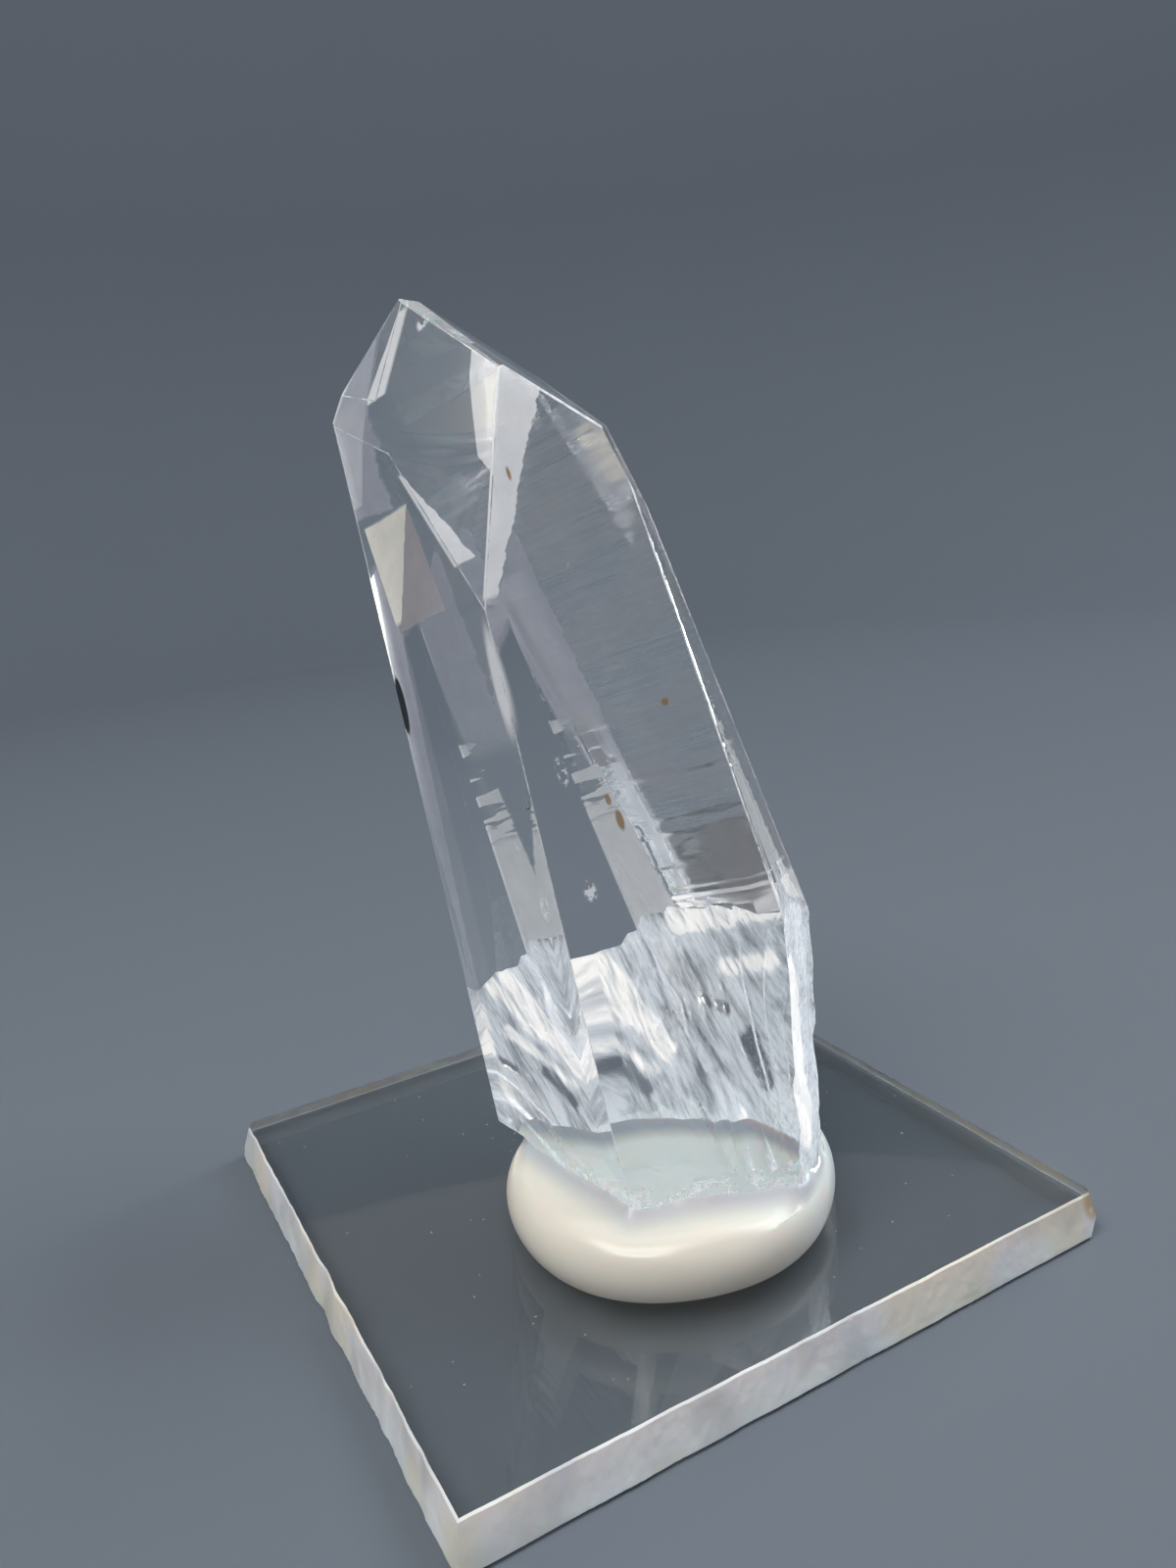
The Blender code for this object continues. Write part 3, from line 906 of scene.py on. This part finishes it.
def broken_finish(settings):
    """Fresh break: glassy ripples with crushed white veils along the splinters; the white is partly
    a painted highlight, and the veils glow with painted light.
    """
    made = Finish("broken quartz")
    along = Vector(SPLINTER_ALONG).normalized().to_track_quat("Z", "Y").to_matrix().to_4x4()
    turned = crystal_matrix() @ along
    broad = made.noise(1.0, 3.0, 0.55, place=made.stretched(turned, (330, 330, 85)), warp=0.8)
    streaks = made.noise(1.0, 4.0, 0.6, place=made.stretched(turned, (1300, 1300, 200)))
    drawn = made.node("ShaderNodeAttribute", {"attribute_name": VEIL}, {}, out="Fac")
    ragged = drawn + (streaks - 0.5) * 1.3
    flame = made.smooth(ragged, 0.22, 0.50)
    window = made.smooth(ragged * -1.0, 0.30, 0.60)
    fine = made.smooth(broad * 0.40 + streaks * 0.60 + drawn * 0.2, 0.28, 0.60)
    veil = fine.higher_of(flame) * (1.0 - window * 0.75)
    ripple = made.noise(1100.0, 3.0, 0.5)
    normal = made.bump(ripple * 0.5 + streaks * 0.6, 0.35, 0.00015)
    clear = made.clear(tuple(settings.body), veil * 0.15 + 0.03, QUARTZ_IOR, Normal=normal)
    hairs = made.noise(1.0, 3.0, 0.6, place=made.stretched(turned, (3200, 3200, 300)))
    lines = made.smooth(hairs, 0.30, 0.60)
    # The veil whites and their glow: painted highlight and painted light
    tint = made.mix(flame * (lines * 0.6 + 0.4), tuple(settings.shadow), tuple(settings.flame))
    glow = made.mix(flame * (lines * 0.7 + 0.3), tuple(settings.painted_fine_crack_glow), tint)
    white = made.principled(Base_Color=tint, Roughness=0.22, Normal=normal,
                            Emission_Color=glow, Emission_Strength=settings.painted_crack_glow)
    haze = made.clear((1.0, 1.0, 1.0), 0.75, QUARTZ_IOR, Normal=normal)
    crushed = made.mix_shader(0.25, white, haze)
    share = veil * (lines * 0.35 + 0.65) * settings.veil_share
    return made.done(made.mix_shader(share, clear, crushed))


def make_crystal():
    settings = bpy.context.scene.quartz_crystal
    shape = crystal_block(settings.ring_step, settings.columns)
    slice_off(shape, *root_plane())
    bmesh.ops.recalc_face_normals(shape, faces=shape.faces[:])
    piece = add_piece("quartz_point", shape, quartz_finish(settings), broken_finish(settings),
                      edge_finish(settings))
    piece.matrix_world = crystal_matrix()
    cutters = [break_cutter(spec, settings.break_cell) for spec in BREAKS]
    for cutter in cutters:
        cut_with(piece, cutter)
    bake(piece)
    for cutter in cutters:
        bpy.data.objects.remove(cutter)
    note_veils(piece.data)
    piece.data.set_sharp_from_angle(angle=QUARTZ_SHARP)
    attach(piece, "root")
    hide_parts("crystal")
    return piece


class QUARTZ_OT_crystal(bpy.types.Operator):
    """Build the quartz point with its ridged faces and broken root"""
    bl_idname = "quartz.crystal"
    bl_label = "Quartz Point"

    def execute(self, context):
        piece = make_crystal()
        if len(piece.data.polygons) < 1000:
            raise RuntimeError("the quartz point came out almost empty")
        return {"FINISHED"}


# Putty

def putty_finish(settings):
    """Milky putty: ivory to the left, grey-green to the right, painted shade in blue-grey at the
    crystal, painted light in the pocket, and a painted glow.
    """
    made = Finish("milky putty")
    warm = 1.0 - made.smooth(made.x + made.y * 0.4, -11 * MM, 3 * MM)
    cloud = made.noise(180.0, 3.0)
    colour = made.mix(warm * 0.85 + cloud * 0.15, tuple(settings.cool), tuple(settings.ivory))
    near = made.node("ShaderNodeAttribute", {"attribute_name": NEAR_CRYSTAL}, {}, out="Fac")
    # Painted shade: the crease at the crystal turns blue-grey
    colour = made.mix(near.higher_of(0.0) * 0.75, colour, tuple(settings.shade))
    # Painted light: the pocket seen through the root is made paler
    pocket = (near * -1.0).higher_of(0.0).lower_of(1.0)
    colour = made.mix(pocket, colour, tuple(settings.pocket))
    normal = made.bump(made.noise(260.0, 3.0), 0.10, 0.0003)
    # The putty emits its own colour as a painted glow
    body = made.principled(Base_Color=colour, Roughness=0.30 + cloud * 0.12, Normal=normal,
                           Subsurface_Weight=0.5, Subsurface_Scale=3.5 * MM, IOR=PUTTY_IOR,
                           Coat_Weight=0.25, Coat_Roughness=0.12,
                           Emission_Color=colour, Emission_Strength=settings.glow)
    return made.done(body)


def putty_profile():
    """Radius and height from the pad's foot, round its bulging side and in to its middle."""
    foot = BASE_TOP + PUTTY_SEAT
    rise = PUTTY_TOP - foot
    first, turned = PUTTY_TURNS
    points = []
    for step in range(PUTTY_SIDE_STEPS + 1):
        angle = math.radians(first + step * turned / PUTTY_SIDE_STEPS)
        radius = PUTTY_RADIUS - rise * PUTTY_BULGE * (1 - math.cos(angle))
        height = foot + rise * (PUTTY_WAIST + PUTTY_SWELL * math.sin(angle))
        points.append((radius, max(foot, height)))
    edge = points[-1][0]
    for step in range(1, PUTTY_TOP_STEPS):
        points.append((edge * (1 - step / PUTTY_TOP_STEPS), points[-1][1]))
    return points


def putty_shape():
    shape = bmesh.new()
    rings = []
    for radius, height in putty_profile():
        ring = []
        for step in range(PUTTY_SEGMENTS):
            angle = math.tau * step / PUTTY_SEGMENTS
            wobble = math.sin(2 * angle + 0.6) + 0.5 * math.sin(5 * angle + 2.0)
            out = radius + PUTTY_WOBBLE * wobble * radius / PUTTY_RADIUS
            x = PUTTY_CENTRE.x + out * math.cos(angle)
            y = PUTTY_CENTRE.y + out * math.sin(angle)
            ring.append(shape.verts.new((x, y, height)))
        rings.append(ring)
    skin(shape, rings)
    return shape


def press_putty(shape, crystal, climb):
    """Raise the putty where it wets the crystal, with a soft furrow outside that."""
    tree = BVHTree.FromObject(crystal, bpy.context.evaluated_depsgraph_get())
    for corner in shape.verts:
        if corner.co.z < PUTTY_TOP - PUTTY_ROLL:
            continue
        away = tree.find_nearest(corner.co)[3]
        x, y = corner.co.x * LUMPS_PER_METRE, corner.co.y * LUMPS_PER_METRE
        lump = noise.noise(Vector((x, y, 4.0)))
        corner.co.z += climb * math.exp(-away / FILM_WIDTH) * (1.0 + 0.8 * lump)
        corner.co.z -= FURROW * math.exp(-((away - FURROW_AWAY) / FURROW_WIDTH) ** 2)
        corner.co.z += PUTTY_LUMP * lump


def note_nearness(mesh, crystal):
    """Store on the putty its crease at the crystal (above 0), where shade is painted, and its
    pocket (below 0), where light is painted.
    """
    tree = BVHTree.FromObject(crystal, bpy.context.evaluated_depsgraph_get())
    mark = mesh.attributes.new(NEAR_CRYSTAL, "FLOAT", "POINT")
    for corner in mesh.vertices:
        away = tree.find_nearest(corner.co)[3]
        upper = min(1.0, max(0.0, (corner.co.z - FILM_FOOT) / PUTTY_ROLL))
        wall = max(0.0, 1.0 - away / POCKET_REACH)
        crease = math.exp(-(away / CREASE_WIDTH) ** 2)
        mark.data[corner.index].value = upper * crease - (1.0 - upper) * wall


def make_putty():
    settings = bpy.context.scene.quartz_putty
    crystal = bpy.data.objects["quartz_point"]
    shape = putty_shape()
    press_putty(shape, crystal, settings.meniscus)
    piece = add_piece("putty_pad", shape, putty_finish(settings))
    pocket = bpy.data.objects.new("pocket", crystal.data.copy())
    pocket.data.materials.clear()
    bpy.context.scene.collection.objects.link(pocket)
    middle = Matrix.Translation(PUTTY_CENTRE + Vector((0, 0, PUTTY_TOP)))
    pocket.matrix_world = middle @ Matrix.Scale(POCKET_SCALE, 4) @ middle.inverted()
    cut_with(piece, pocket)
    bake(piece)
    bpy.data.objects.remove(pocket)
    note_nearness(piece.data, crystal)
    piece.data.shade_smooth()
    piece.data.set_sharp_from_angle(angle=PUTTY_SHARP)
    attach(piece, "root")
    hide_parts("putty")


class QUARTZ_OT_putty(bpy.types.Operator):
    """Build the milky putty pad that holds the crystal"""
    bl_idname = "quartz.putty"
    bl_label = "Putty Pad"

    def execute(self, context):
        make_putty()
        return {"FINISHED"}


# Base

def acrylic_finish():
    made = Finish("clear acrylic face")
    smear = made.smooth(made.noise(60.0, 4.0, 0.6), 0.5, 0.75)
    return made.done(made.clear((0.97, 0.985, 0.98), smear * 0.03 + 0.01, ACRYLIC_IOR))


def sawn_finish(settings):
    """Sawn side: milky white with cream and blue-white patches, milkier in some places than others.
    """
    made = Finish("sawn acrylic edge")
    patches = made.noise(95.0, 3.0, 0.6)
    blues = made.noise(150.0, 2.0, 0.5, warp=0.4)
    colour = made.mix(made.smooth(patches, 0.47, 0.60), tuple(settings.frost),
                      tuple(settings.cream))
    colour = made.mix(made.smooth(blues, 0.52, 0.64) * 0.7, colour, tuple(settings.blue))
    corner = Matrix.Translation(Vector((BASE_SIDE / 2, -BASE_SIDE / 2, 0.0)))
    amber = made.spot(AMBER_PLACE, AMBER_SIZE, corner) * made.smooth(made.noise(900.0), 0.35, 0.5)
    colour = made.mix(amber * 0.8, colour, tuple(settings.amber))
    grit = made.noise(1500.0, 3.0)
    normal = made.bump(grit * 0.6 + made.noise(420.0, 2.0) * 0.6, 0.5, 0.00012)
    clear = made.clear((0.97, 0.98, 0.975), 0.30, ACRYLIC_IOR, Normal=normal)
    white = made.principled(Base_Color=colour, Roughness=0.38, Normal=normal,
                            Subsurface_Weight=0.2, Subsurface_Scale=2.0 * MM)
    milk = made.smooth(made.noise(210.0, 3.0), 0.30, 0.60) * 0.30 + settings.milk
    return made.done(made.mix_shader(milk, clear, white))


def base_outline(flare, chatter, height):
    """One turn round the plate, side by side, with the saw's waves and fine marks."""
    half = BASE_SIDE / 2 + flare
    corners = [(-half, -half), (half, -half), (half, half), (-half, half)]
    points = []
    for side, (x0, y0) in enumerate(corners):
        x1, y1 = corners[(side + 1) % 4]
        out = Vector((y1 - y0, x0 - x1)).normalized()
        for step in range(POINTS_PER_SIDE):
            part = step / POINTS_PER_SIDE
            wave = noise.noise(Vector((part * 17.0, side * 5.0, 1.5)))
            wave += 0.5 * noise.noise(Vector((part * 41.0, side * 5.0, 8.5)))
            fine = noise.noise(Vector((part * 150.0, side * 5.0, height / MM * 1.6)))
            ends = math.sin(math.pi * part) ** 0.25
            push = chatter * (SIDE_MARKS[side] * wave + FINE_MARKS * (fine - 0.5)) * ends
            points.append((x0 + (x1 - x0) * part + out.x * push,
                           y0 + (y1 - y0) * part + out.y * push))
    return points


def plate_levels():
    """Height, outward flare and share of the saw marks, from the underside up."""
    slope = SIDE_FLARE / BASE_THICK
    levels = [(0.0, SIDE_FLARE - EDGE_BEVEL, MARKS_AT_RIMS)]
    for step in range(PLATE_LEVELS + 1):
        height = EDGE_BEVEL + (BASE_THICK - 2 * EDGE_BEVEL) * step / PLATE_LEVELS
        levels.append((height, SIDE_FLARE - slope * height, 1.0))
    levels.append((BASE_THICK, -EDGE_BEVEL, MARKS_AT_RIMS))
    return levels


def chip_corners(shape):
    """Small flakes broken off the right-hand and the left-hand corner."""
    half = BASE_SIDE / 2
    chips = (
        (Vector((half - 0.3 * MM, -half + 0.3 * MM, BASE_THICK)), Vector((1.0, -0.8, 0.35))),
        (Vector((half + 0.1 * MM, -half - 0.2 * MM, 1.4 * MM)), Vector((0.7, -1.0, -0.25))),
        (Vector((-half + 0.5 * MM, half - 0.2 * MM, BASE_THICK)), Vector((-1.0, 0.55, 0.5))),
        (Vector((-half - 0.1 * MM, half + 0.3 * MM, 1.0 * MM)), Vector((-0.5, 1.0, -0.2))),
    )
    for point, normal in chips:
        slice_off(shape, point, normal.normalized())


def make_base():
    settings = bpy.context.scene.quartz_base
    shape = bmesh.new()
    loops = []
    for height, flare, share in plate_levels():
        outline = base_outline(flare, settings.chatter * share, height)
        loops.append([shape.verts.new((x, y, height)) for x, y in outline])
    skin(shape, loops)
    chip_corners(shape)
    bmesh.ops.recalc_face_normals(shape, faces=shape.faces[:])
    for face in shape.faces:
        flat = abs(face.normal.z) > 0.9
        face.material_index = 0 if flat else 1
        face.smooth = not flat
    piece = add_piece("acrylic_plate", shape, acrylic_finish(), sawn_finish(settings))
    piece.data.set_sharp_from_angle(angle=PLATE_SHARP)
    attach(piece, "root")
    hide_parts("base")


def dust_tree(material):
    """Scatter specks over a flat sheet, clear of the putty; returns the tree and inputs."""
    tree = bpy.data.node_groups.new("dust specks", "GeometryNodeTree")
    face, link = tree.interface, tree.links.new
    face.new_socket("Geometry", in_out="INPUT", socket_type="NodeSocketGeometry")
    face.new_socket("Geometry", in_out="OUTPUT", socket_type="NodeSocketGeometry")
    inputs = {}
    for name, kind in (("Density", "Float"), ("Speck size", "Float"), ("Clear radius", "Float"),
                       ("Pad centre", "Vector"), ("Seed", "Int")):
        made = face.new_socket(name, in_out="INPUT", socket_type="NodeSocket" + kind)
        inputs[name] = made.identifier

    def add(kind, settings, values):
        node = tree.nodes.new(kind)
        for key, value in settings.items():
            setattr(node, key, value)
        for key, value in values.items():
            if isinstance(value, bpy.types.NodeSocket):
                link(value, node.inputs[key])
            else:
                node.inputs[key].default_value = value
        return node

    given = tree.nodes.new("NodeGroupInput").outputs
    here = add("GeometryNodeInputPosition", {}, {})
    away = add("ShaderNodeVectorMath", {"operation": "DISTANCE"},
               {0: here.outputs[0], 1: given["Pad centre"]})
    free = add("FunctionNodeCompare", {"data_type": "FLOAT", "operation": "GREATER_THAN"},
               {0: away.outputs["Value"], 1: given["Clear radius"]})
    spread = add("GeometryNodeDistributePointsOnFaces", {}, {
        "Mesh": given["Geometry"], "Selection": free.outputs[0], "Density": given["Density"],
        "Seed": given["Seed"]})
    speck = add("GeometryNodeMeshIcoSphere", {}, {"Radius": given["Speck size"],
                                                  "Subdivisions": 1})
    turn = add("FunctionNodeRandomValue", {"data_type": "FLOAT_VECTOR"},
               {"Max": (0.6, 0.6, math.tau), "Seed": given["Seed"]})
    scale = add("FunctionNodeRandomValue", {"data_type": "FLOAT_VECTOR"},
                {"Min": (0.35, 0.3, 0.2), "Max": (1.5, 0.9, 0.5), "Seed": given["Seed"]})
    placed = add("GeometryNodeInstanceOnPoints", {}, {
        "Points": spread.outputs["Points"], "Instance": speck.outputs["Mesh"],
        "Rotation": turn.outputs[0], "Scale": scale.outputs[0]})
    real = add("GeometryNodeRealizeInstances", {}, {"Geometry": placed.outputs[0]})
    coated = add("GeometryNodeSetMaterial", {}, {"Geometry": real.outputs[0],
                                                 "Material": material})
    end = tree.nodes.new("NodeGroupOutput")
    link(coated.outputs[0], end.inputs[0])
    return tree, inputs


def dust_finish():
    made = Finish("pale dust")
    tone = made.mix(made.noise(3000.0), (0.80, 0.78, 0.74), (0.60, 0.60, 0.62))
    return made.done(made.principled(Base_Color=tone, Roughness=0.8))


def make_dust():
    settings = bpy.context.scene.quartz_base
    shape = bmesh.new()
    half = BASE_SIDE / 2 - DUST_MARGIN
    bmesh.ops.create_grid(shape, x_segments=1, y_segments=1, size=half)
    bmesh.ops.translate(shape, verts=shape.verts[:], vec=(0.0, 0.0, BASE_THICK + DUST_LIFT))
    piece = add_piece("dust_specks", shape)
    tree, inputs = dust_tree(dust_finish())
    scatter = piece.modifiers.new("dust", "NODES")
    scatter.node_group = tree
    scatter[inputs["Density"]] = settings.specks / (2 * half) ** 2
    scatter[inputs["Speck size"]] = settings.speck_size
    scatter[inputs["Clear radius"]] = DUST_CLEAR
    scatter[inputs["Pad centre"]] = PUTTY_CENTRE + Vector((0.0, 0.0, BASE_THICK))
    scatter[inputs["Seed"]] = DUST_SEED
    bake(piece)
    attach(piece, "root")
    return piece


class QUARTZ_OT_dust(bpy.types.Operator):
    """Scatter the dust specks that lie on the plate"""
    bl_idname = "quartz.dust"
    bl_label = "Dust Specks"

    def execute(self, context):
        piece = make_dust()
        if not piece.data.polygons:
            raise RuntimeError("no dust specks were scattered")
        return {"FINISHED"}


class QUARTZ_OT_base(bpy.types.Operator):
    """Build the square acrylic plate with its sawn edges"""
    bl_idname = "quartz.base"
    bl_label = "Acrylic Plate"

    def execute(self, context):
        make_base()
        return {"FINISHED"}


# Stage

def area_light(name, place, aim, size, power, tint, spread):
    lamp = bpy.data.lights.new(name, "AREA")
    lamp.shape = "RECTANGLE"
    lamp.size, lamp.size_y = size
    lamp.energy = power
    lamp.color = tint
    lamp.spread = math.radians(spread)
    thing = bpy.data.objects.new(name, lamp)
    bpy.context.scene.collection.objects.link(thing)
    thing.location = place
    thing.rotation_euler = (Vector(aim) - Vector(place)).to_track_quat("-Z", "Y").to_euler()


def backdrop_shape():
    """A round wall that the floor curves up into."""
    shape = bmesh.new()
    profile = []
    for step in range(CURVE_STEPS + 1):
        angle = math.radians(90 * step / CURVE_STEPS)
        profile.append((FLOOR_RADIUS + SWEEP_RADIUS * math.sin(angle),
                        SWEEP_RADIUS * (1 - math.cos(angle))))
    profile.append((FLOOR_RADIUS + SWEEP_RADIUS, WALL_TOP))
    rings = []
    for step in range(SWEEP_STEPS + 1):
        turn = math.tau * step / SWEEP_STEPS
        rings.append([shape.verts.new((out * math.cos(turn), out * math.sin(turn), up))
                      for out, up in profile])
    for left, right in zip(rings, rings[1:]):
        for low in range(len(left) - 1):
            shape.faces.new((left[low], left[low + 1], right[low + 1], right[low]))
    bmesh.ops.remove_doubles(shape, verts=shape.verts[:], dist=0.0001)
    return shape


def make_stage():
    settings = bpy.context.scene.quartz_stage
    made = Finish("plain floor")
    grain = made.noise(30.0, 2.0)
    low = tuple(channel * 0.97 for channel in settings.floor)
    colour = made.mix(grain, tuple(settings.floor), low)
    floor_finish = made.done(made.principled(Base_Color=colour, Roughness=0.85))
    shape = bmesh.new()
    bmesh.ops.create_circle(shape, cap_ends=True, segments=SWEEP_STEPS,
                              radius=FLOOR_RADIUS + FLOOR_REACH)
    floor = add_piece("floor", shape, floor_finish)
    sweep = add_piece("backdrop", backdrop_shape(), floor_finish)
    sweep.data.shade_smooth()
    for thing in (floor, sweep):
        thing.location.z = CAD_LOW[2] - FLOOR_DROP

    world = bpy.data.worlds.new("surroundings")
    bpy.context.scene.world = world
    world.use_nodes = True
    sky = world.node_tree.nodes["Background"].inputs
    sky["Color"].default_value = (*settings.sky, 1.0)
    sky["Strength"].default_value = settings.sky_strength

    for name, place, aim, size, tint, spread in LIGHTS:
        area_light(name, place, aim, size, getattr(settings, name), tint, spread)
    view, cycles = bpy.context.scene.view_settings, bpy.context.scene.cycles
    view.view_transform = "Standard"
    view.look = "Medium Contrast"
    view.exposure = EXPOSURE
    for kind in ("max", "transmission", "glossy"):
        setattr(cycles, kind + "_bounces", LIGHT_BOUNCES)


def make_camera():
    lens = bpy.data.cameras.new("camera")
    lens.sensor_fit = "AUTO"
    lens.sensor_width = SENSOR_MM
    lens.lens = FOCAL_PIXELS * SENSOR_MM / IMAGE_TALL
    lens.clip_start = CLIP_START
    eye = bpy.data.objects.new("camera", lens)
    bpy.context.scene.collection.objects.link(eye)
    turn = Matrix((CAMERA_RIGHT, CAMERA_UP, CAMERA_BACK)).transposed().to_4x4()
    eye.matrix_world = Matrix.Translation(CAMERA_PLACE) @ turn
    bpy.context.scene.camera = eye


class QUARTZ_OT_stage(bpy.types.Operator):
    """Add the plain floor, the soft lights and the camera"""
    bl_idname = "quartz.stage"
    bl_label = "Stage"

    def execute(self, context):
        make_stage()
        make_camera()
        return {"FINISHED"}


class QUARTZ_PT_panel(bpy.types.Panel):
    bl_label = "Quartz Point"
    bl_idname = "QUARTZ_PT_panel"
    bl_space_type = "VIEW_3D"
    bl_region_type = "UI"
    bl_category = "Quartz"

    def draw(self, context):
        column = self.layout.column()
        for name in STEPS:
            column.operator("quartz." + name)


STEPS = ("stage", "base", "dust", "crystal", "putty")
GROUPS = {"quartz_crystal": QUARTZ_PG_crystal, "quartz_putty": QUARTZ_PG_putty,
          "quartz_base": QUARTZ_PG_base, "quartz_stage": QUARTZ_PG_stage}
CLASSES = (*GROUPS.values(), QUARTZ_OT_crystal, QUARTZ_OT_putty, QUARTZ_OT_base,
           QUARTZ_OT_dust, QUARTZ_OT_stage, QUARTZ_PT_panel)


def register():
    for each in CLASSES:
        bpy.utils.register_class(each)
    for name, group in GROUPS.items():
        setattr(bpy.types.Scene, name, PointerProperty(type=group))


def unregister():
    for name in GROUPS:
        delattr(bpy.types.Scene, name)
    for each in reversed(CLASSES):
        bpy.utils.unregister_class(each)


def main():
    register()
    for name in STEPS:
        getattr(bpy.ops.quartz, name)()


if __name__ == "__main__":
    main()
